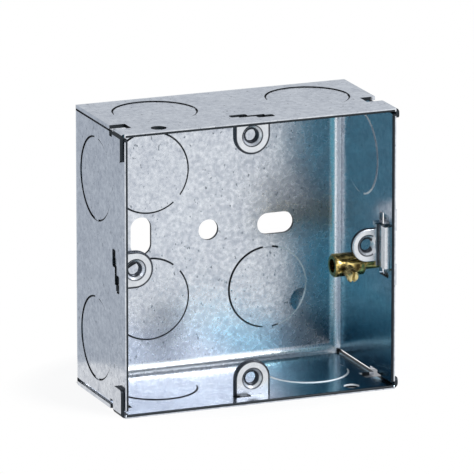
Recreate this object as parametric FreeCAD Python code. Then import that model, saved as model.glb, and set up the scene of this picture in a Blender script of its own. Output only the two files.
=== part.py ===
import FreeCAD, Part
import os

# A galvanised steel flush box, open at the front, with its lugs and its brass earth terminal.
# Frame: X to the right, Y into the wall, Z up, origin at the middle of the back's outer face.
# The open front edge lies at y = -box_depth. Everything is in millimetres.

# Folded box
box_width = 70.0
box_height = 70.0
box_depth = 35.0
sheet = 0.9
bend_inside = 2.2
upper_seam = 0.5
lower_seam = 0.9
front_edge_round = 0.3

# Knockout discs, sheared all but through the sheet, tied twice and set a little inwards; one has a nick
knockout_d = 20.8
shear_line = 0.45
shear_web = 0.25
tie_width = 2.4
knockout_set = 0.2
nick_radius = 3.0
nick_depth = 0.35
nick_angle = 25.0
wall_knockout_pitch = 39.6
wall_knockout_depth = 19.2
back_knockout_pitch_x = 31.0
back_knockout_pitch_z = 31.8

# Holes in the back and the small holes near the front edge
back_hole_d = 5.2
back_slot_length = 9.6
back_slot_width = 5.4
back_slot_spacing = 35.3
pilot_hole_d = 3.8
pilot_hole_offset = 25.0
pilot_hole_depth = 3.3

# Tabs that lap round the four front corners, with a relief notch behind each
left_tab_length = 7.0
left_tab_width = 5.2
right_tab_length = 2.6
right_tab_width = 8.2
tab_setback = 0.5
tab_gap = 0.1
tab_bend_inside = 0.3
tab_corner_radius = 0.8
relief_width = 4.0
relief_length = 4.4
relief_drop = 1.6

# Lugs for the cover plate's screws; this inset of the hole from the wall gives 60.3 mm centres
lug_hole_inset = 3.95
lug_face_depth = 5.5
lug_sheet = 1.2
lug_width = 9.2
lug_edge_round = 0.35
thread_bore_d = 3.5
thread_entry_d = 5.4
thread_entry_depth = 0.8
thread_collar_d = 5.2
thread_collar_height = 1.0

# The three fixed lugs are flat: a tenon stands in a stepped wall slot and two prongs lock it there
tenon_width = 6.6
tenon_recess = 0.5
tenon_clearance = 0.05
prong_start = 1.3
prong_length = 1.8
prong_reach = 0.8
prong_thickness = 0.3
lug_slot_length = 10.4
lug_slot_end_length = 4.4
lug_slot_end_width = 1.6
lug_slot_corner_radius = 0.5

# Adjustable lug: its foot and two wings lie along the right wall and its ears run in a long slot
slide_travel = 2.5
slide_end_clearance = 0.15
slide_clearance = 0.1
slide_bend_inside = 0.6
slide_foot_setback = 1.5
slide_foot_length = 10.4
slide_wing_depth = 8.9
slide_lug_width = 8.2
slide_slot_setback = 2.1
slide_slot_width = 5.8
slide_slot_corner_radius = 0.8
ear_sheet = 1.0
ear_setback = 3.0
ear_flange_thickness = 0.8
ear_flange_length = 5.2
ear_flange_width = 6.2
ear_flange_setback = 1.4

# Brass earth terminal on the right wall
post_depth = 11.2
post_drop = 5.7
post_d = 5.8
post_length = 8.0
post_chamfer = 0.4
post_neck_d = 3.4
post_neck_length = 3.0
spigot_d = 2.6
spigot_clearance = 0.02
rivet_d = 4.6
rivet_height = 0.5
wire_bore_d = 3.4
wire_bore_depth = 6.6
screw_d = 3.0
screw_clearance = 0.03
screw_from_end = 3.3
screw_tilt = 20.0
screw_proud = 3.0
screw_tip_gap = 0.15
screw_slot_width = 0.7
screw_slot_depth = 0.9
screw_chamfer = 0.25

# Worked out from the sizes above
bend_outside = bend_inside + sheet
slide_bend_outside = slide_bend_inside + lug_sheet
slide_slot_length = slide_foot_length + 2 * (slide_travel + slide_end_clearance)
cut_reach = 2 * bend_outside
right_wall_inside = box_width / 2 - sheet

TOP, LEFT, BOTTOM, RIGHT = range(4)


def vector(x, y, z):
    return FreeCAD.Vector(x, y, z)


def behind_front(distance):
    """The y of a point that lies this far behind the open front edge."""
    return distance - box_depth


def block(x0, x1, y0, y1, z0, z1):
    """A box between two corners."""
    return Part.makeBox(x1 - x0, y1 - y0, z1 - z0, vector(x0, y0, z0))


def turned(shape, wall):
    """A shape made for the top wall, turned about the box's Y axis on to another wall."""
    copy = shape.copy()
    copy.rotate(vector(0, 0, 0), vector(0, 1, 0), -90 * wall)
    return copy


def wall_reach(wall):
    """Half the box's size across a wall: from the box's middle to that wall's outer face."""
    return box_height / 2 if wall in (TOP, BOTTOM) else box_width / 2


def quarter_bend(x0, x1, y, z, inside, outside):
    """A quarter of a sheet bend about a line along X, between its +Y and +Z quadrant edges."""
    tube = Part.makeCylinder(outside, x1 - x0, vector(x0, y, z), vector(1, 0, 0))
    bore = Part.makeCylinder(inside, x1 - x0, vector(x0, y, z), vector(1, 0, 0))
    quadrant = block(x0, x1, y, y + outside, z, z + outside)
    return tube.cut(bore).common(quadrant)


def obround(length, width, depth):
    """A slot cutter standing along Z, its length along X, with round ends."""
    half_run = (length - width) / 2
    body = block(-half_run, half_run, -width / 2, width / 2, -depth / 2, depth / 2)
    for x in (-half_run, half_run):
        body = body.fuse(Part.makeCylinder(width / 2, depth, vector(x, 0, -depth / 2)))
    return body


def knockout_hole():
    """The cutter for the hole that a knockout disc is sheared from, standing along Z."""
    return Part.makeCylinder(knockout_d / 2, 2 * cut_reach, vector(0, 0, -cut_reach))


def knockout_disc(tie_angle):
    """A knockout disc in a sheet whose outer face is z = 0, with the thin web and two ties that hold it."""
    disc = Part.makeCylinder(knockout_d / 2 - shear_line, sheet, vector(0, 0, -sheet - knockout_set))
    half_ties = knockout_d / 2 + shear_line
    ties = block(-half_ties, half_ties, -tie_width / 2, tie_width / 2, -sheet, -knockout_set)
    ties.rotate(vector(0, 0, 0), vector(0, 0, 1), tie_angle)
    web_base = vector(0, 0, -(sheet + knockout_set + shear_web) / 2)
    web = Part.makeCylinder(half_ties, shear_web, web_base)
    return disc.fuse([ties, web])


def nick():
    """The shallow round dent at the edge of one back knockout, on its inner face, turned on from +X."""
    radius = (nick_radius ** 2 + nick_depth ** 2) / (2 * nick_depth)
    rim = knockout_d / 2 - shear_line
    dent = Part.makeSphere(radius, vector(rim, 0, nick_depth - radius - sheet - knockout_set))
    dent.rotate(vector(0, 0, 0), vector(0, 0, 1), nick_angle)
    return dent


def folded_wall(wall):
    """One wall with its bend to the back, in the top wall's place, its inner front edge rounded."""
    reach = wall_reach(wall)
    if wall in (TOP, BOTTOM):
        start = -box_width / 2
        end = box_width / 2
    else:
        start_seam, end_seam = (lower_seam, upper_seam) if wall == LEFT else (upper_seam, lower_seam)
        start = start_seam + sheet - box_height / 2
        end = box_height / 2 - sheet - end_seam
    flat = block(start, end, -box_depth, -bend_outside, reach - sheet, reach)
    inner_front = [
        edge for edge in flat.Edges
        if edge.BoundBox.YMax < sheet - box_depth and edge.BoundBox.ZMax < reach - sheet / 2
    ]
    flat = flat.makeFillet(front_edge_round, inner_front)
    bend_z = reach - bend_outside
    bend = quarter_bend(start, end, -bend_outside, bend_z, bend_inside, bend_outside)
    return flat.fuse(bend)


def rounded_envelope():
    """The box's outside as a solid, its two upright rear edges rounded as the bends of the side walls are."""
    half_x = box_width / 2
    half_z = box_height / 2
    envelope = block(-half_x, half_x, -box_depth, 0, -half_z, half_z)
    rear = [
        edge for edge in envelope.Edges
        if edge.BoundBox.ZLength > half_z and edge.BoundBox.YMin > -box_depth / 2
    ]
    return envelope.makeFillet(bend_outside, rear)


def corner_tab(tab_length, tab_width):
    """A tab of the top wall, bent down over the outer face of the right wall near the front."""
    front = behind_front(tab_setback)
    rear = front + tab_width
    inner = box_width / 2 + tab_gap
    bend_x = inner - tab_bend_inside
    bend_z = box_height / 2 - sheet - tab_bend_inside
    radius = tab_bend_inside + sheet
    start = vector(bend_x, front, bend_z)
    along = vector(0, 1, 0)
    bend = Part.makeCylinder(radius, tab_width, start, along)
    bend = bend.cut(Part.makeCylinder(tab_bend_inside, tab_width, start, along))
    bend = bend.common(block(bend_x, bend_x + radius, front, rear, bend_z, bend_z + radius))
    flap = block(inner, inner + sheet, front, rear, box_height / 2 - tab_length, bend_z)
    lower_edges = [
        edge for edge in flap.Edges
        if edge.BoundBox.ZMax < bend_z - tab_length / 4 and edge.BoundBox.XLength > sheet / 2
    ]
    flap = flap.makeFillet(tab_corner_radius, lower_edges)
    return bend.fuse(flap)


def corner_relief(tab_width):
    """The notch in the top wall's right-hand edge and the side wall's end, just behind the corner tab."""
    front = behind_front(tab_setback + tab_width)
    reach = box_width / 2
    lower = box_height / 2 - sheet - relief_drop
    return block(
        reach - relief_width, reach + cut_reach, front, front + relief_length,
        lower, lower + cut_reach,
    )


def at_four_corners(left, right):
    """A left and a right shape, both made for the top right corner, set at the box's four corners."""
    middle = vector(0, 0, 0)
    upper = [left.mirror(middle, vector(1, 0, 0)), right]
    return upper + [shape.mirror(middle, vector(0, 0, 1)) for shape in upper]


def at_wall_knockouts(shape, wall):
    """A shape set at each knockout of one wall; the right wall has only its upper one."""
    offset = wall_knockout_pitch / 2
    places = (-offset,) if wall == RIGHT else (-offset, offset)
    copies = []
    for x in places:
        copy = shape.copy()
        copy.translate(vector(x, behind_front(wall_knockout_depth), wall_reach(wall)))
        copies.append(turned(copy, wall))
    return copies


def at_back_knockout(shape, side_x, side_z):
    """A shape made for a sheet facing +Z, set at one of the back's three knockouts."""
    copy = shape.copy()
    copy.rotate(vector(0, 0, 0), vector(1, 0, 0), -90)
    copy.translate(vector(side_x * back_knockout_pitch_x / 2, 0, side_z * back_knockout_pitch_z / 2))
    return copy


def stepped_pair(shape, wall):
    """A shape of the slot's front step, with its half-turned twin behind the lug; swapped on the left wall."""
    middle = vector(0, behind_front(lug_face_depth + lug_sheet / 2), wall_reach(wall))
    shape = shape.copy()
    shape.translate(vector(0, 0, wall_reach(wall)))
    twin = shape.copy()
    twin.rotate(middle, vector(0, 0, 1), 180)
    pair = [shape, twin]
    if wall == LEFT:
        pair = [side.mirror(vector(0, 0, 0), vector(1, 0, 0)) for side in pair]
    return pair


def lug_slot(wall):
    """The slot of a fixed lug's tenon, with a step in front of one end and behind the other."""
    face = behind_front(lug_face_depth)
    reach = wall_reach(wall)
    half = tenon_width / 2 + tenon_clearance
    front = face - tenon_clearance
    rear = face + lug_sheet + tenon_clearance
    run = block(-half, half, front, rear, reach - cut_reach, reach + cut_reach)
    end = lug_slot_length / 2
    step = block(
        end - lug_slot_end_length, end, front - lug_slot_end_width, front + lug_slot_corner_radius,
        -cut_reach, cut_reach,
    )
    upright = [edge for edge in step.Edges if edge.BoundBox.ZLength > cut_reach]
    step = step.makeFillet(lug_slot_corner_radius, upright)
    return run.fuse(stepped_pair(step, wall))


def slide_slot():
    """The long slot that the adjustable lug's ears run in."""
    half = slide_slot_length / 2
    front = behind_front(slide_slot_setback)
    reach = wall_reach(RIGHT)
    slot = block(-half, half, front, front + slide_slot_width, reach - cut_reach, reach + cut_reach)
    upright = [edge for edge in slot.Edges if edge.BoundBox.ZLength > cut_reach]
    return slot.makeFillet(slide_slot_corner_radius, upright)


def back_holes():
    """The middle hole and the two crossed fixing slots of the back."""
    start = vector(0, -cut_reach, 0)
    hole = Part.makeCylinder(back_hole_d / 2, 2 * cut_reach, start, vector(0, 1, 0))
    slots = []
    for side_x, turn in ((-1, 90), (1, 0)):
        slot = obround(back_slot_length, back_slot_width, 2 * cut_reach)
        slot.rotate(vector(0, 0, 0), vector(0, 0, 1), turn)
        slot.rotate(vector(0, 0, 0), vector(1, 0, 0), 90)
        slot.translate(vector(side_x * back_slot_spacing / 2, 0, 0))
        slots.append(slot)
    return [hole] + slots


def pilot_hole(wall):
    """The small hole near the front edge of the top and bottom walls."""
    base = vector(-pilot_hole_offset, behind_front(pilot_hole_depth), wall_reach(wall) - cut_reach)
    return Part.makeCylinder(pilot_hole_d / 2, 2 * cut_reach, base)


def spigot_hole():
    """The hole in the right wall for the earth terminal's spigot."""
    bore_d = spigot_d + 2 * spigot_clearance
    return post_round(bore_d, right_wall_inside - cut_reach, right_wall_inside + cut_reach)


def box_body():
    """The folded sheet: back, walls, bends and corner tabs, with everything punched out of it."""
    half_x = box_width / 2 - bend_outside
    half_z = box_height / 2 - bend_outside
    body = block(-half_x, half_x, -sheet, 0, -half_z, half_z)
    body = body.fuse([turned(folded_wall(wall), wall) for wall in (TOP, LEFT, BOTTOM, RIGHT)])
    body = body.common(rounded_envelope())

    left_tab = corner_tab(left_tab_length, left_tab_width)
    right_tab = corner_tab(right_tab_length, right_tab_width)
    body = body.fuse(at_four_corners(left_tab, right_tab))

    cuts = at_four_corners(corner_relief(left_tab_width), corner_relief(right_tab_width))
    discs = []
    for wall in (TOP, LEFT, BOTTOM, RIGHT):
        cuts += at_wall_knockouts(knockout_hole(), wall)
        discs += at_wall_knockouts(knockout_disc(0), wall)
    for side_x, side_z, disc in (
        (-1, 1, knockout_disc(45)), (-1, -1, knockout_disc(135)), (1, -1, knockout_disc(90).cut(nick())),
    ):
        cuts.append(at_back_knockout(knockout_hole(), side_x, side_z))
        discs.append(at_back_knockout(disc, side_x, side_z))
    cuts += [turned(lug_slot(wall), wall) for wall in (TOP, LEFT, BOTTOM)]
    cuts += [turned(pilot_hole(wall), wall) for wall in (TOP, BOTTOM)]
    cuts.append(turned(slide_slot(), RIGHT))
    cuts.append(spigot_hole())
    return body.cut(cuts + back_holes()).fuse(discs).removeSplitter()


def tapped_tongue(wall, root, width):
    """A lug's tongue in the top wall's place, down from z = root: round-ended, with a plunged hole."""
    face = behind_front(lug_face_depth)
    hole_z = wall_reach(wall) - sheet - lug_hole_inset
    half = width / 2
    start = vector(0, face, hole_z)
    away = vector(0, 1, 0)
    left = vector(-half, face, hole_z)
    right = vector(half, face, hole_z)
    upper_left = vector(-half, face, root)
    upper_right = vector(half, face, root)
    tip = Part.Arc(left, vector(0, face, hole_z - half), right).toShape()
    outline = Part.Wire([
        Part.makeLine(upper_left, left), tip, Part.makeLine(right, upper_right),
        Part.makeLine(upper_right, upper_left),
    ])
    tongue = Part.Face(outline).extrude(vector(0, lug_sheet, 0))
    front_rim = [
        edge for edge in tongue.Edges
        if edge.BoundBox.YMax < face + lug_sheet / 2 and edge.BoundBox.ZMin < hole_z + half / 2
    ]
    tongue = tongue.makeFillet(lug_edge_round, front_rim)
    collar = Part.makeCylinder(thread_collar_d / 2, lug_sheet + thread_collar_height, start, away)
    bore = Part.makeCylinder(thread_bore_d / 2, lug_sheet + 2 * thread_collar_height, start, away)
    entry = Part.makeCone(thread_entry_d / 2, thread_bore_d / 2, thread_entry_depth, start, away)
    return tongue.fuse(collar).cut([bore, entry])


def fixed_lug(wall):
    """A flat lug: its shoulders stand on the wall, its tenon in the slot, with a prong pressed out each way."""
    reach = wall_reach(wall)
    face = behind_front(lug_face_depth)
    half = tenon_width / 2
    tongue = tapped_tongue(wall, reach - sheet, lug_width)
    tenon = block(-half, half, face, face + lug_sheet, reach - sheet, reach - tenon_recess)
    prong = block(
        prong_start, prong_start + prong_length, face - prong_reach, face,
        -tenon_recess - prong_thickness, -tenon_recess,
    )
    lug = tongue.fuse([tenon] + stepped_pair(prong, wall))
    return turned(lug.removeSplitter(), wall)


def adjustable_lug():
    """The sliding lug: two ears of its foot pass through the long slot and are flattened outside."""
    reach = wall_reach(RIGHT)
    seat = reach - sheet - slide_clearance
    half_foot = slide_foot_length / 2
    bend_y = behind_front(lug_face_depth) - slide_bend_inside
    bend_z = seat - slide_bend_outside
    foot = block(-half_foot, half_foot, behind_front(slide_foot_setback), bend_y, seat - lug_sheet, seat)
    bend = quarter_bend(-half_foot, half_foot, bend_y, bend_z, slide_bend_inside, slide_bend_outside)
    tongue = tapped_tongue(RIGHT, bend_z, slide_lug_width)

    wing_rear = behind_front(slide_wing_depth)
    wing = block(slide_lug_width / 2, half_foot, bend_y, wing_rear, seat - lug_sheet, seat)
    flange_bottom = reach + slide_clearance
    flange_top = flange_bottom + ear_flange_thickness
    flange_front = behind_front(ear_flange_setback)
    ear_front = behind_front(ear_setback)
    root = block(half_foot - ear_sheet, half_foot, ear_front, bend_y, seat - lug_sheet, flange_top)
    flange = block(
        half_foot - ear_sheet, half_foot - ear_sheet + ear_flange_length,
        flange_front, flange_front + ear_flange_width, flange_bottom, flange_top,
    )
    side = wing.fuse([root, flange])
    lug = foot.fuse([bend, tongue, side, side.mirror(vector(0, 0, 0), vector(1, 0, 0))])
    return turned(lug.removeSplitter(), RIGHT)


def screw_line():
    """A point on the terminal's axis and the direction in which its clamp screw looks out of it."""
    end_x = right_wall_inside - post_neck_length - post_length
    centre = vector(end_x + screw_from_end, behind_front(post_depth), -post_drop)
    tilt = FreeCAD.Rotation(vector(1, 0, 0), screw_tilt)
    return centre, tilt.multVec(vector(0, -1, 0))


def post_round(diameter, x0, x1):
    """A round of the earth terminal about its axis, from one x to another."""
    start = vector(x0, behind_front(post_depth), -post_drop)
    return Part.makeCylinder(diameter / 2, x1 - x0, start, vector(1, 0, 0))


def earth_terminal_post():
    """The turned brass post: rivet head, spigot, neck and a body with a wire hole in its free end."""
    body_x = right_wall_inside - post_neck_length
    outer_face = box_width / 2
    body = post_round(post_d, body_x - post_length, body_x)
    rims = [edge for edge in body.Edges if edge.BoundBox.XLength < post_chamfer / 2]
    body = body.makeChamfer(post_chamfer, rims)
    neck = post_round(post_neck_d, body_x, right_wall_inside)
    spigot = post_round(spigot_d, right_wall_inside, outer_face)
    rivet = post_round(rivet_d, outer_face, outer_face + rivet_height)
    post = body.fuse([neck, spigot, rivet])
    wire_bore = post_round(wire_bore_d, body_x - post_length, body_x - post_length + wire_bore_depth)
    centre, outward = screw_line()
    screw_bore = Part.makeCylinder(screw_d / 2 + screw_clearance, post_d, centre, outward)
    return post.cut([wire_bore, screw_bore]).removeSplitter()


def earth_terminal_screw():
    """The slotted clamp screw, backed off so that its tip just clears the wire hole."""
    centre, outward = screw_line()
    tip = wire_bore_d / 2 + screw_tip_gap
    length = post_d / 2 + screw_proud - tip
    screw = Part.makeCylinder(screw_d / 2, length, vector(0, 0, tip))
    rims = [edge for edge in screw.Edges if edge.BoundBox.ZLength < screw_chamfer / 2]
    screw = screw.makeChamfer(screw_chamfer, rims)
    head = tip + length
    slot = block(
        -screw_d, screw_d, -screw_slot_width / 2, screw_slot_width / 2,
        head - screw_slot_depth, head + screw_slot_depth,
    )
    slot.rotate(vector(0, 0, 0), vector(0, 0, 1), 90)
    screw = screw.cut(slot)
    screw.Placement = FreeCAD.Placement(centre, FreeCAD.Rotation(vector(0, 0, 1), outward))
    return screw


os.makedirs("parts", exist_ok=True)
pieces = {
    "box_body": box_body(),
    "top_lug": fixed_lug(TOP),
    "left_lug": fixed_lug(LEFT),
    "bottom_lug": fixed_lug(BOTTOM),
    "adjustable_lug": adjustable_lug(),
    "earth_terminal_post": earth_terminal_post(),
    "earth_terminal_screw": earth_terminal_screw(),
}
for name, shape in pieces.items():
    shape.exportStep(f"parts/{name}.step")
    print(name, len(shape.Solids), shape.isValid(), round(shape.Volume, 2), shape.BoundBox)
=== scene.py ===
import math
import bpy
import numpy as np
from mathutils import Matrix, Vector


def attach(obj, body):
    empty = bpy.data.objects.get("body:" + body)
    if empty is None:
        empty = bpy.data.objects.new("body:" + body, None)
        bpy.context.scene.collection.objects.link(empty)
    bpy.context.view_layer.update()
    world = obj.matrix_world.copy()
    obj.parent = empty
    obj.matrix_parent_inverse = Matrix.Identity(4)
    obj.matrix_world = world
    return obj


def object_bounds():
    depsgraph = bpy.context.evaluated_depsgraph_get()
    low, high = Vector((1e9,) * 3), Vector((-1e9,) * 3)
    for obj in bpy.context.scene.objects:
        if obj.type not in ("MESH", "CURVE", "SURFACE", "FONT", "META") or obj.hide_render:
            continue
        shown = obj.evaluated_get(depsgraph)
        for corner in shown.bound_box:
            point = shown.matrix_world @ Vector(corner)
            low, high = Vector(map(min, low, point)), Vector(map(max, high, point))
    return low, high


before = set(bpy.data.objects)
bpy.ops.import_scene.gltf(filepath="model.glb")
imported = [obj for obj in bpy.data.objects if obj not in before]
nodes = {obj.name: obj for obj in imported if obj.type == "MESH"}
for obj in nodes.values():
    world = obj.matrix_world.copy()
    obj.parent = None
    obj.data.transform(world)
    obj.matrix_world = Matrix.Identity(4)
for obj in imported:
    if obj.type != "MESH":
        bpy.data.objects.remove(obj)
cad_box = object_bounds()


# Box body: one sheet of galvanised steel, punched flat and folded into a back and four walls.
# Its zinc skin is mottled, with faint rolling streaks that run up the back and on over the folded walls.
# It carries a painted highlight along the bends, and painted shade, near-black, on its cut faces, the front
# edges' inner halves, the slots, seams and knockout lines.
# Inside, some cut lines at the right carry a painted white highlight, a painted dark blue reflection lies in
# the lower right corner, and a painted white, matt patch on the left wall's inner face stands in for a lit
# wall that the bends reflect.
def place(tree, kind, inputs=None, **settings):
    """A node of one kind with its settings, and with a value or another node's socket on each input."""
    node = tree.nodes.new(kind)
    for name, value in settings.items():
        setattr(node, name, value)
    for name, value in (inputs or {}).items():
        if isinstance(value, bpy.types.NodeSocket):
            tree.links.new(value, node.inputs[name])
        else:
            node.inputs[name].default_value = value
    return node


def reckon(tree, operation, *values):
    """The result of one sum on values or other nodes' sockets."""
    return place(tree, "ShaderNodeMath", dict(enumerate(values)), operation=operation).outputs["Value"]


def joined(tree, operation, first, *others):
    """Several values brought together by one sum, two at a time."""
    for other in others:
        first = reckon(tree, operation, first, other)
    return first


def size_of(tree, value):
    """A value without its sign."""
    return reckon(tree, "ABSOLUTE", value)


def spread(tree, value, low, high, to_low=0.0, to_high=1.0):
    """A value taken from one range on to another, held at the ends."""
    limits = {"Value": value, "From Min": low, "From Max": high, "To Min": to_low, "To Max": to_high}
    return place(tree, "ShaderNodeMapRange", limits).outputs["Result"]


def blend(tree, factor, first, second, blend_type="MIX"):
    """Two colours mixed or multiplied, each a plain colour or another node's socket."""
    colours = [c if isinstance(c, bpy.types.NodeSocket) else (*c, 1.0) for c in (first, second)]
    mix = place(tree, "ShaderNodeMix", {0: factor, 6: colours[0], 7: colours[1]},
                data_type="RGBA", blend_type=blend_type)
    return mix.outputs[2]


def axes_of(tree, vector):
    """The X, Y and Z sockets of a vector."""
    return place(tree, "ShaderNodeSeparateXYZ", {"Vector": vector}).outputs


def along(tree, vector, axis):
    """How far a vector reaches along an axis."""
    reach = place(tree, "ShaderNodeVectorMath", {0: vector, 1: axis}, operation="DOT_PRODUCT")
    return reach.outputs["Value"]


def noise(tree, position, scale, detail, roughness, stretch=(1.0, 1.0, 1.0)):
    """Noise from 0 to 1 over a position, stretched where an axis counts for less."""
    moved = place(tree, "ShaderNodeMapping", {"Vector": position, "Scale": stretch}).outputs["Vector"]
    grain = place(tree, "ShaderNodeTexNoise",
                  {"Vector": moved, "Scale": scale, "Detail": detail, "Roughness": roughness})
    return grain.outputs["Fac"]


class Masks:
    """Masks from 0 to 1 in one tree: made with a limit, and joined."""

    def __init__(self, tree):
        self.tree = tree

    def over(self, value, limit):
        return reckon(self.tree, "GREATER_THAN", value, limit)

    def under(self, value, limit):
        return reckon(self.tree, "LESS_THAN", value, limit)

    def all_of(self, *masks):
        return joined(self.tree, "MULTIPLY", *masks)

    def any_of(self, *masks):
        return joined(self.tree, "MAXIMUM", *masks)

    def outside(self, mask):
        return reckon(self.tree, "SUBTRACT", 1.0, mask)


def zinc_skin_group():
    """Zinc on rolled sheet, with its rolling direction along Z: mottle, clouds, streaks, pits and height."""
    group = bpy.data.node_groups.new("zinc_skin", "ShaderNodeTree")
    group.interface.new_socket("Sheet Position", in_out="INPUT", socket_type="NodeSocketVector")
    for name in ("Mottle", "Clouds", "Streaks", "Pits", "Height"):
        group.interface.new_socket(name, in_out="OUTPUT", socket_type="NodeSocketFloat")
    position = place(group, "NodeGroupInput").outputs["Sheet Position"]
    mottle = spread(group, noise(group, position, 900.0, 3.0, 0.65), 0.3, 0.7)
    clouds = spread(group, noise(group, position, 300.0, 3.0, 0.6), 0.34, 0.66)
    streaks = spread(group, noise(group, position, 1100.0, 2.0, 0.6, (1.0, 1.0, 0.03)), 0.3, 0.7)
    pits = spread(group, noise(group, position, 1500.0, 1.0, 0.4, (1.0, 1.0, 0.6)), 0.7, 0.77)
    height = noise(group, position, 42.0, 1.5, 0.5)
    for part, share in ((mottle, 0.016), (clouds, 0.06), (streaks, 0.006), (pits, -0.05)):
        height = reckon(group, "MULTIPLY_ADD", part, share, height)
    place(group, "NodeGroupOutput", {
        "Mottle": mottle, "Clouds": clouds, "Streaks": streaks, "Pits": pits, "Height": height,
    })
    return group


def bare_material(name):
    """A new material with only its Principled shader, and the tree and shader to work on."""
    material = bpy.data.materials.new(name)
    material.use_nodes = True
    tree = material.node_tree
    return material, tree, tree.nodes["Principled BSDF"]


def surface_of(tree):
    """The position on the object, and the direction that its face looks in."""
    position = place(tree, "ShaderNodeTexCoord").outputs["Object"]
    normal = place(tree, "ShaderNodeNewGeometry").outputs["True Normal"]
    return position, normal


def add_relief(tree, shader, height, strength, distance):
    """A height that tilts the shader's surface."""
    relief = place(tree, "ShaderNodeBump", {"Height": height, "Strength": strength, "Distance": distance})
    tree.links.new(relief.outputs["Normal"], shader.inputs["Normal"])


def cover(piece, material):
    """One material, and no other, on a piece of the CAD model."""
    nodes[piece].data.materials.clear()
    nodes[piece].data.materials.append(material)


# Sizes of the folded sheet, in metres
half_box = 0.035
box_depth = 0.035
sheet = 0.0009
bend_start = 0.0319
bend_fade_in = 0.0002
bend_fade_out = 0.0003
edge_line = 0.0003
front_line = 0.00032

# Where the cut lines at the right carry a painted white highlight, in metres
line_highlight_from_x = 0.0045
line_highlight_on_back_from_x = 0.0185
line_highlight_on_back_below_z = -0.005
line_highlight_on_wall_above_z = 0.0085
line_highlight_on_wall_below_z = bend_start - 0.0005

# Where the painted dark blue reflection in the lower right corner starts and where it is full, in metres from
# the box's middle, and its tint
corner_reflection_stages = (
    (0.003, 0.014, (0.42, 0.9, 1.0)),
    (0.015, 0.03, (0.3, 0.36, 0.42)),
)

# Colours of the zinc, and of its painted highlights, painted reflection and painted shade
cloud_dark, cloud_pale = (0.44, 0.47, 0.535), (0.71, 0.74, 0.78)
streak_dark, streak_pale = (0.48, 0.51, 0.57), (0.68, 0.71, 0.76)
mottle_dark, mottle_pale = (0.36, 0.39, 0.45), (0.78, 0.81, 0.855)
pit_grey = (0.24, 0.26, 0.29)
painted_bend_highlight = (0.9, 0.92, 0.94)
patch_white = (0.92, 0.93, 0.95)
cut_shade_dark = (0.035, 0.04, 0.045)
line_highlight_white = (0.9, 0.92, 0.93)

zinc_skin = zinc_skin_group()


def painted_cut_shade(tree, at, facing):
    """Where painted shade lies near-black: the sheet's cut faces, its front edges' inner halves, its seams
    and its knockout lines.
    """
    mask = Masks(tree)
    out_x = size_of(tree, at["X"])
    out_z = size_of(tree, at["Z"])
    out_y = reckon(tree, "ADD", at["Y"], half_box)

    def sheet_cut(out, across, where):
        """The cut faces of one wall's sheet, and the thin web halfway through it in the knockout lines."""
        level = size_of(tree, across)
        in_sheet = mask.all_of(mask.over(out, half_box - 0.8 * sheet),
                               mask.under(out, half_box - 0.3 * sheet))
        web = mask.all_of(in_sheet, mask.over(level, 0.5))
        return mask.all_of(where, mask.any_of(mask.under(level, 0.5), web))

    skin_depth = half_box - 1.25 * sheet
    clear_of_lids = mask.under(out_z, half_box - 1.05 * sheet)
    side = sheet_cut(out_x, facing["X"], mask.all_of(mask.over(out_x, skin_depth), clear_of_lids))
    lid = sheet_cut(out_z, facing["Z"], mask.over(out_z, skin_depth))
    flat = mask.all_of(mask.under(out_x, bend_start), mask.under(out_z, bend_start),
                       mask.over(out_y, skin_depth))
    back = sheet_cut(out_y, facing["Y"], flat)

    inside_tabs = mask.under(out_x, half_box + 0.05 * sheet)
    wall_end = mask.over(out_x, half_box - 0.05 * sheet)
    slide_rim = mask.all_of(mask.under(facing["Y"], -0.6), mask.over(at["X"], skin_depth))
    front_edge = mask.under(at["Y"], front_line / 4 - box_depth)
    bright = mask.all_of(inside_tabs, mask.any_of(wall_end, slide_rim, front_edge))
    cut = mask.all_of(mask.any_of(side, lid, back), mask.outside(bright))

    reach = reckon(tree, "MAXIMUM", out_x, out_z)
    front = mask.all_of(mask.under(at["Y"], front_line - box_depth), mask.under(reach, half_box - edge_line))
    along_seam = mask.all_of(mask.over(out_z, half_box - 2.1 * sheet),
                             mask.under(out_z, half_box - 0.95 * sheet))
    open_seam = mask.all_of(mask.over(out_x, half_box - 1.1 * sheet),
                            mask.under(size_of(tree, facing["X"]), 0.5))
    return mask.any_of(cut, front, mask.all_of(along_seam, open_seam))


def painted_line_highlights(tree, at):
    """Where a painted white highlight lies on a cut line inside: at the right, on the bottom wall, the back
    and the wall.
    """
    mask = Masks(tree)
    on_bottom = mask.under(at["Z"], -bend_start)
    on_back = mask.all_of(mask.over(at["X"], line_highlight_on_back_from_x), mask.under(at["Z"], line_highlight_on_back_below_z))
    on_either = mask.all_of(mask.any_of(on_bottom, on_back), mask.under(at["X"], bend_start))
    on_wall = mask.all_of(mask.over(at["Z"], line_highlight_on_wall_above_z), mask.under(at["Z"], line_highlight_on_wall_below_z),
                          mask.over(at["X"], bend_start))
    reach = joined(tree, "MAXIMUM", size_of(tree, at["X"]), size_of(tree, at["Z"]),
                   reckon(tree, "ADD", at["Y"], half_box))
    inside = mask.under(reach, half_box - sheet / 2)
    behind_edge = mask.over(at["Y"], front_line - box_depth)
    at_right = mask.over(at["X"], line_highlight_from_x)
    return mask.all_of(mask.any_of(on_either, on_wall), inside, behind_edge, at_right)


def folded_bends(tree, at):
    """Where the sheet is bent between the back and a wall, from 0 to 1 over half a millimetre at each end."""
    rear = bend_start - half_box
    reach = reckon(tree, "MAXIMUM", size_of(tree, at["X"]), size_of(tree, at["Z"]))
    outward = spread(tree, reach, bend_start - bend_fade_in, bend_start + bend_fade_out)
    rearward = spread(tree, at["Y"], rear - bend_fade_in, rear + bend_fade_out)
    return reckon(tree, "MULTIPLY", outward, rearward)


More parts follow.
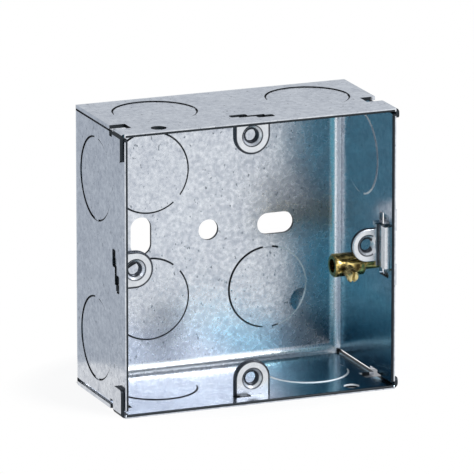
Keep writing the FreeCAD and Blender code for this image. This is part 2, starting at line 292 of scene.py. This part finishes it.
def painted_corner_reflection(tree, zinc, at, facing):
    """The zinc darkened to blue by a painted dark reflection on the bottom and right walls' inner faces,
    deepest in their corner.
    """
    inward = Masks(tree).over(reckon(tree, "SUBTRACT", facing["Z"], facing["X"]), 0.5)
    into_corner = reckon(tree, "MINIMUM", at["X"], reckon(tree, "MULTIPLY", at["Z"], -1.0))
    for start, full, tint in corner_reflection_stages:
        share = reckon(tree, "MULTIPLY", inward, spread(tree, into_corner, start, full))
        zinc = blend(tree, share, zinc, tint, "MULTIPLY")
    return zinc


def painted_white_patch(tree, at, facing, clouds):
    """A painted white, matt patch in clouds on the left wall's inner face, standing in for the wall lit
    bright, for the bends to reflect.
    """
    mask = Masks(tree)
    on_left = mask.under(at["X"], 1.5 * sheet - half_box)
    return mask.all_of(on_left, mask.over(facing["X"], 0.7), spread(tree, clouds, 0.0, 1.0, 0.35, 0.75))


def galvanised_sheet():
    """Zinc over the whole sheet: the rolling direction turns with the fold on to the top and bottom walls."""
    material, tree, shader = bare_material("galvanised_sheet")
    position, normal = surface_of(tree)
    at = axes_of(tree, position)
    facing = axes_of(tree, normal)
    mask = Masks(tree)
    turned = place(tree, "ShaderNodeCombineXYZ", {"X": at["X"], "Y": at["Z"], "Z": at["Y"]})
    level = mask.over(size_of(tree, facing["Z"]), 0.7)
    unfolded = place(tree, "ShaderNodeMix", {0: level, 4: position, 5: turned.outputs["Vector"]},
                     data_type="VECTOR")
    skin = place(tree, "ShaderNodeGroup", node_tree=zinc_skin)
    tree.links.new(unfolded.outputs[1], skin.inputs["Sheet Position"])
    skin = skin.outputs

    cloudy = blend(tree, skin["Clouds"], cloud_dark, cloud_pale)
    streaky = blend(tree, skin["Streaks"], streak_dark, streak_pale)
    mottled = blend(tree, skin["Mottle"], mottle_dark, mottle_pale)
    zinc = blend(tree, 0.6, blend(tree, 0.2, cloudy, streaky), mottled)
    zinc = blend(tree, skin["Pits"], zinc, pit_grey)
    # Painted dark blue reflection in the lower right corner, deepest into the corner.
    zinc = painted_corner_reflection(tree, zinc, at, facing)
    # Painted highlight along the bends: near-white, strong on inner faces and weak on outer ones.
    bend_highlight_share = spread(tree, facing["Y"], 0.0, 0.1, 0.8, 0.25)
    zinc = blend(tree, reckon(tree, "MULTIPLY", folded_bends(tree, at), bend_highlight_share), zinc, painted_bend_highlight)
    # Painted white, matt patch on the left wall's inner face, for the bends to reflect as a highlight.
    white_patch = painted_white_patch(tree, at, facing, skin["Clouds"])
    zinc = blend(tree, white_patch, zinc, patch_white)
    # Painted shade: near-black on cut faces, seams, knockout lines and the front edges' inner halves.
    cut_shade = painted_cut_shade(tree, at, facing)
    zinc = blend(tree, cut_shade, zinc, cut_shade_dark)
    # Painted white highlight on cut lines at the right, inside.
    line_highlight = mask.all_of(cut_shade, painted_line_highlights(tree, at))
    tree.links.new(blend(tree, line_highlight, zinc, line_highlight_white), shader.inputs["Base Color"])

    tree.links.new(spread(tree, mask.any_of(line_highlight, white_patch), 0.0, 1.0, 1.0, 0.15), shader.inputs["Metallic"])
    gloss = spread(tree, skin["Mottle"], 0.0, 1.0, 0.22, 0.14)
    matt_back = spread(tree, at["Y"], bend_start - half_box, -sheet, 0.0, 0.1)
    gloss = reckon(tree, "ADD", gloss, matt_back)
    matt = mask.any_of(cut_shade, white_patch)
    tree.links.new(spread(tree, matt, 0.0, 1.0, gloss, 0.5), shader.inputs["Roughness"])
    add_relief(tree, shader, skin["Height"], 0.5, 0.0006)
    return material


cover("box_body", galvanised_sheet())


# Lugs: four stamped steel lugs, zinc plated, each with a plunged and tapped hole for a cover plate's screw.
# Three stand in slots of their walls; the fourth slides in its slot in the right wall.
# Painted shade lies dark round the holes, on the rims and on the cut edges, and in the crease of the sliding
# lug's fold.
# The sliding lug's foot is painted matt white in front as a highlight, and the rear faces are painted pale.
lug_centres = 0.0603
lug_back = -0.0284
collar_end = -0.027
lug_rim = 0.0041
hole_throat = 0.00195
hole_mouth = 0.0026
line_fade = 0.0001
foot_face = 0.0315
foot_bend = -0.0312
crease_from = 0.0322

# Colours of the plate, and of its painted shade and painted pale
plate_dark, plate_pale, plate_bright = (0.58, 0.6, 0.63), (0.68, 0.7, 0.73), (0.8, 0.81, 0.83)
lug_shade_dark = (0.05, 0.055, 0.065)
lug_painted_pale = (0.88, 0.88, 0.89)


def painted_lug_shade(tree, at, facing):
    """Where a lug is painted dark as shade: its cut sides, its fold's crease, its rim, and its hole's throat
    and mouth.
    """
    mask = Masks(tree)
    on_foot = mask.all_of(mask.over(at["X"], foot_face), mask.over(size_of(tree, facing["X"]), 0.3))
    sideways = spread(tree, size_of(tree, facing["Y"]), 0.3, 0.7, 1.0, 0.0)
    cut = mask.all_of(mask.under(at["Y"], lug_back), mask.outside(on_foot), sideways)
    crease = mask.all_of(mask.under(facing["X"], -0.15), mask.under(facing["Y"], -0.15),
                         mask.over(at["Y"], foot_bend), mask.over(at["X"], crease_from))

    out_x = size_of(tree, at["X"])
    out_z = size_of(tree, at["Z"])
    across = reckon(tree, "MINIMUM", out_x, out_z)
    past_hole = reckon(tree, "SUBTRACT", reckon(tree, "MAXIMUM", out_x, out_z), lug_centres / 2)

    def distance(first, second):
        squares = reckon(tree, "ADD", reckon(tree, "POWER", first, 2.0), reckon(tree, "POWER", second, 2.0))
        return reckon(tree, "SQRT", squares)

    from_hole = distance(across, past_hole)
    throat = spread(tree, from_hole, hole_throat - line_fade, hole_throat + line_fade, 1.0, 0.0)
    off_mouth = size_of(tree, reckon(tree, "SUBTRACT", from_hole, hole_mouth))
    mouth = spread(tree, off_mouth, 0.8 * line_fade, 2 * line_fade, 0.9, 0.0)
    from_middle = distance(across, reckon(tree, "MINIMUM", past_hole, 0.0))
    rim = spread(tree, from_middle, lug_rim - line_fade, lug_rim)
    tongue = mask.all_of(mask.under(at["Y"], collar_end), mask.under(at["X"], foot_face))
    return mask.any_of(cut, crease, mask.all_of(mask.any_of(throat, mouth, rim), tongue))


def plated_lug():
    """Bright zinc plate, with painted shade on its cut sides, crease and hole, and painted matt pale on its
    rear face and on the foot in front.
    """
    material, tree, shader = bare_material("galvanised_lug")
    position, normal = surface_of(tree)
    at = axes_of(tree, position)
    facing = axes_of(tree, normal)
    mask = Masks(tree)
    skin = place(tree, "ShaderNodeGroup", node_tree=zinc_skin)
    tree.links.new(position, skin.inputs["Sheet Position"])
    skin = skin.outputs
    cloudy = blend(tree, skin["Clouds"], plate_dark, plate_pale)
    plated = blend(tree, reckon(tree, "MULTIPLY", skin["Mottle"], 0.4), cloudy, plate_bright)
    # Painted shade: dark on the cut sides, the fold's crease, the rim, and the hole's throat and mouth.
    plated = blend(tree, painted_lug_shade(tree, at, facing), plated, lug_shade_dark)
    # Painted pale: the rear faces, so that their reflection in the back is light, and the sliding lug's foot,
    # as a highlight.
    rear = mask.over(facing["Y"], 0.7)
    foot = mask.all_of(mask.over(at["X"], foot_face), mask.under(at["Y"], foot_bend),
                       mask.under(facing["X"], -0.8))
    matt = mask.any_of(rear, foot)
    tree.links.new(blend(tree, matt, plated, lug_painted_pale), shader.inputs["Base Color"])
    tree.links.new(spread(tree, foot, 0.0, 1.0, 1.0, 0.2), shader.inputs["Metallic"])
    gloss = spread(tree, skin["Mottle"], 0.0, 1.0, 0.34, 0.24)
    tree.links.new(spread(tree, matt, 0.0, 1.0, gloss, 0.7), shader.inputs["Roughness"])
    add_relief(tree, shader, skin["Height"], 0.35, 0.0005)
    return material


lug_zinc = plated_lug()
for lug in ("top_lug", "left_lug", "bottom_lug", "adjustable_lug"):
    cover(lug, lug_zinc)


def tapped_thread(name, x, z):
    """A thread in a lug's bore, closed round, along Y.

    Its inner radius is bore - height * (1 + cos(turns - angle)) / 2, and it runs out at both ends.
    """
    bore, height, pitch = 0.001745, 0.00031, 0.0006
    start, length = -0.0287, 0.0014
    seat = 0.000003
    around, steps = 72, 44
    angle = np.linspace(0.0, 2 * math.pi, around, endpoint=False)[:, None]
    depth = np.linspace(0.0, length, steps)[None, :]
    runout = np.clip(np.minimum(depth, length - depth) / (pitch / 4), 0.0, 1.0)
    inner = bore - height * runout * (0.5 + 0.5 * np.cos(2 * math.pi * depth / pitch - angle))
    outer = np.full((around, 2), bore + seat)
    radius = np.concatenate([inner, outer], axis=1)
    y = start + np.concatenate([depth + 0 * angle, np.tile([[length, 0.0]], (around, 1))], axis=1)
    points = np.stack([x + radius * np.cos(angle), y, z + radius * np.sin(angle)], axis=-1)
    index = np.arange(radius.size).reshape(radius.shape)
    after = np.roll(index, -1, axis=0)
    faces = np.stack([index, after, np.roll(after, -1, axis=1), np.roll(index, -1, axis=1)], axis=-1)
    mesh = bpy.data.meshes.new(name)
    mesh.from_pydata(points.reshape(-1, 3).tolist(), [], faces.reshape(-1, 4).tolist())
    mesh.polygons.foreach_set("use_smooth", np.ones(radius.size, dtype=bool))
    mesh.materials.append(lug_zinc)
    thread = bpy.data.objects.new(name, mesh)
    bpy.context.collection.objects.link(thread)
    return thread


for lug, x, z, body in (
    ("top_lug", 0.0, lug_centres / 2, "box"),
    ("left_lug", -lug_centres / 2, 0.0, "box"),
    ("bottom_lug", 0.0, -lug_centres / 2, "box"),
    ("adjustable_lug", lug_centres / 2, 0.0, "adjustable_lug"),
):
    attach(tapped_thread(lug + "_thread", x, z), body)


# Earth terminal: a turned brass post riveted through the right wall, with a slotted brass clamp screw.
# Both are a little tarnished; the lathe's rings run round the post, and the screw's thread round the screw.
post_gold, screw_gold, brass_tarnish = (0.84, 0.63, 0.22), (0.95, 0.8, 0.4), (0.05, 0.036, 0.014)


def turned_brass(name, bright, axis, pitch, ring_height):
    """Brass with rings across one axis, as a lathe or a die leaves them, and tarnish in clouds."""
    material, tree, shader = bare_material(name)
    position = place(tree, "ShaderNodeTexCoord").outputs["Object"]
    clouds = spread(tree, noise(tree, position, 420.0, 3.0, 0.6), 0.36, 0.6)
    turns = reckon(tree, "MULTIPLY", along(tree, position, axis), 2 * math.pi / pitch)
    rings = reckon(tree, "SINE", turns)
    bared = reckon(tree, "MULTIPLY", clouds, spread(tree, rings, -1.0, 0.2, 0.5, 1.0))
    tree.links.new(blend(tree, bared, brass_tarnish, bright), shader.inputs["Base Color"])
    shader.inputs["Metallic"].default_value = 1.0
    tree.links.new(spread(tree, clouds, 0.0, 1.0, 0.3, 0.12), shader.inputs["Roughness"])
    add_relief(tree, shader, rings, 0.6, ring_height)
    return material


screw_tilt = math.radians(20.0)
post_axis = (1.0, 0.0, 0.0)
screw_axis = (0.0, math.cos(screw_tilt), math.sin(screw_tilt))
cover("earth_terminal_post", turned_brass("post_brass", post_gold, post_axis, 0.0026, 0.00006))
cover("earth_terminal_screw", turned_brass("screw_brass", screw_gold, screw_axis, 0.0005, 0.0001))


# Floor: a plain white oval under the box, which holds its shadow and fades into the white surround.
# It is painted dark as shadow under the box itself, and in a painted shadow patch beside the right wall.
floor_half_x, floor_half_y, floor_middle = 0.056, 0.037, 0.009 - box_depth / 2
# The floor's white, and the dark of its painted shadow.
floor_white, floor_painted_shadow = (0.88, 0.88, 0.89), (0.1, 0.11, 0.12)
glow, glow_under_box, glow_at_rim = 0.88, 0.05, 0.12


def floor_material():
    """White that glows by itself where it is seen, a little less than the surround, except where shadow is
    painted dark.
    """
    material, tree, shader = bare_material("floor_white")
    mask = Masks(tree)
    at = axes_of(tree, place(tree, "ShaderNodeTexCoord").outputs["Object"])
    off_x = size_of(tree, at["X"])
    off_y = reckon(tree, "SUBTRACT", at["Y"], floor_middle)
    out_x = reckon(tree, "SUBTRACT", off_x, half_box)
    from_box = size_of(tree, reckon(tree, "ADD", at["Y"], box_depth / 2))
    out_y = reckon(tree, "SUBTRACT", from_box, box_depth / 2)
    clear = spread(tree, reckon(tree, "MAXIMUM", out_x, out_y), -0.0009, -0.0002, glow_under_box, glow)
    # Painted shadow patch beside the right wall, near its front.
    shadow_beside = mask.all_of(
        mask.over(at["X"], 0.0),
        spread(tree, at["X"], half_box + 0.0022, half_box + 0.0042, 1.0, 0.0),
        spread(tree, at["Y"], 0.009 - box_depth, 0.011 - box_depth),
        spread(tree, at["Y"], 0.018 - box_depth, 0.0205 - box_depth, 0.85, 0.0),
    )
    clear = mask.all_of(clear, mask.outside(shadow_beside))
    shaded = spread(tree, clear, glow_under_box, glow, 1.0, 0.0)
    tree.links.new(blend(tree, shaded, floor_white, floor_painted_shadow), shader.inputs["Base Color"])
    shader.inputs["Roughness"].default_value = 0.9

    share_x = reckon(tree, "MULTIPLY", reckon(tree, "MULTIPLY", off_x, off_x), floor_half_x ** -2)
    share_y = reckon(tree, "MULTIPLY", reckon(tree, "MULTIPLY", off_y, off_y), floor_half_y ** -2)
    rim = spread(tree, reckon(tree, "ADD", share_x, share_y), 0.65, 0.97, 0.0, glow_at_rim)
    rays = place(tree, "ShaderNodeLightPath").outputs
    seen = mask.any_of(rays["Is Camera Ray"], rays["Is Glossy Ray"], rays["Is Transmission Ray"])
    share = mask.all_of(seen, reckon(tree, "ADD", clear, rim))
    white = place(tree, "ShaderNodeEmission", {"Color": (1.0, 1.0, 1.0, 1.0), "Strength": 1.0})
    surface = place(tree, "ShaderNodeMixShader",
                    {0: share, 1: shader.outputs["BSDF"], 2: white.outputs["Emission"]})
    tree.links.new(surface.outputs["Shader"], tree.nodes["Material Output"].inputs["Surface"])
    return material


def white_floor():
    """A flat oval as a polar grid: share r of its size and angle a give (r half_x cos a, r half_y sin a)."""
    rings, around = 24, 96
    ring = np.linspace(0.0, 1.0, rings)[:, None]
    angle = np.linspace(0.0, 2 * math.pi, around, endpoint=False)[None, :]
    x = floor_half_x * ring * np.cos(angle)
    y = floor_half_y * ring * np.sin(angle) + floor_middle
    grid = np.stack([x, y, np.full((rings, around), cad_box[0][2])], axis=-1)
    index = np.arange(rings * around).reshape(rings, around)
    after = np.roll(index, -1, axis=1)
    faces = np.stack([index[:-1], index[1:], after[1:], after[:-1]], axis=-1).reshape(-1, 4)
    mesh = bpy.data.meshes.new("floor")
    mesh.from_pydata(grid.reshape(-1, 3).tolist(), [], faces.tolist())
    mesh.materials.append(floor_material())
    floor = bpy.data.objects.new("floor", mesh)
    bpy.context.collection.objects.link(floor)


white_floor()


# Light: a pale studio with a wide soft panel in front at the right, and a small low panel at each side.
# Behind the camera it is a dark blue room, up to a ceiling's height. The back shows the wide panel and the
# right wall, by way of the back, shows the dark room. A soft key lamp stands in front at the right.
studio_pale, studio_behind = (0.78, 0.8, 0.83), (0.56, 0.6, 0.655)
panel_low, panel_high = (1.09, 1.09, 1.09), (1.14, 1.24, 1.42)
right_panel, left_panel = (1.8, 1.8, 1.8), (1.4, 1.4, 1.4)
room_low, room_high = (0.1, 0.31, 0.41), (0.01, 0.13, 0.2)
seen_white = (1.0, 1.0, 1.0)


def studio_world():
    """The studio by direction: pale all round, brighter toward the panels, dark toward the camera's side."""
    world = bpy.data.worlds.new("studio")
    bpy.context.scene.world = world
    world.use_nodes = True
    tree = world.node_tree
    surround = tree.nodes["Background"]
    direction = place(tree, "ShaderNodeTexCoord").outputs["Generated"]
    height = axes_of(tree, direction)["Z"]

    def zone(middle, edge, core):
        """A round patch of the surround about one direction, from none at its edge to full at its core."""
        return spread(tree, along(tree, direction, middle), edge, core)

    upper = spread(tree, height, -0.1, 0.2)
    lit = blend(tree, zone((-0.36, 0.85, -0.38), 0.3, 0.9), studio_pale, studio_behind)
    lit = blend(tree, zone((0.6, -0.78, -0.1), 0.5, 0.8), lit, blend(tree, upper, panel_low, panel_high))
    lit = blend(tree, zone((0.87, -0.35, -0.35), 0.9, 0.96), lit, right_panel)
    lit = blend(tree, zone((-0.97, -0.17, -0.17), 0.88, 0.94), lit, left_panel)
    below_ceiling = spread(tree, height, 0.32, 0.48, 1.0, 0.0)
    dark = reckon(tree, "MULTIPLY", zone((-0.405, -0.91, -0.087), 0.81, 0.9), below_ceiling)
    studio = blend(tree, dark, lit, blend(tree, upper, room_low, room_high))
    rays = place(tree, "ShaderNodeLightPath").outputs
    tree.links.new(blend(tree, rays["Is Camera Ray"], studio, seen_white), surround.inputs["Color"])
    surround.inputs["Strength"].default_value = 1.0


studio_world()


def soft_lamp(name, stand, aim, size, power):
    """A square soft light on its stand, aimed at a point."""
    data = bpy.data.lights.new(name, "AREA")
    data.shape = "SQUARE"
    data.size = size
    data.energy = power
    lamp = bpy.data.objects.new(name, data)
    bpy.context.collection.objects.link(lamp)
    lamp.location = stand
    lamp.rotation_euler = (Vector(aim) - Vector(stand)).to_track_quat("-Z", "Y").to_euler()


soft_lamp("key", stand=(0.6, -0.8, 0.7), aim=(0.0, 0.0, 0.0), size=0.5, power=9.0)


# Camera: a long lens from the front left, a little above, so that the box shows almost no perspective.
camera_data = bpy.data.cameras.new("camera")
camera_data.lens = 553.0
camera_data.sensor_width = 36.0
camera_data.clip_end = 20.0
camera = bpy.data.objects.new("camera", camera_data)
bpy.context.collection.objects.link(camera)
camera.location = (-0.63652, -1.59429, 0.45252)
camera.rotation_euler = (math.radians(75.168), 0.0, math.radians(-22.008))
bpy.context.scene.camera = camera
bpy.context.scene.view_settings.view_transform = "Standard"
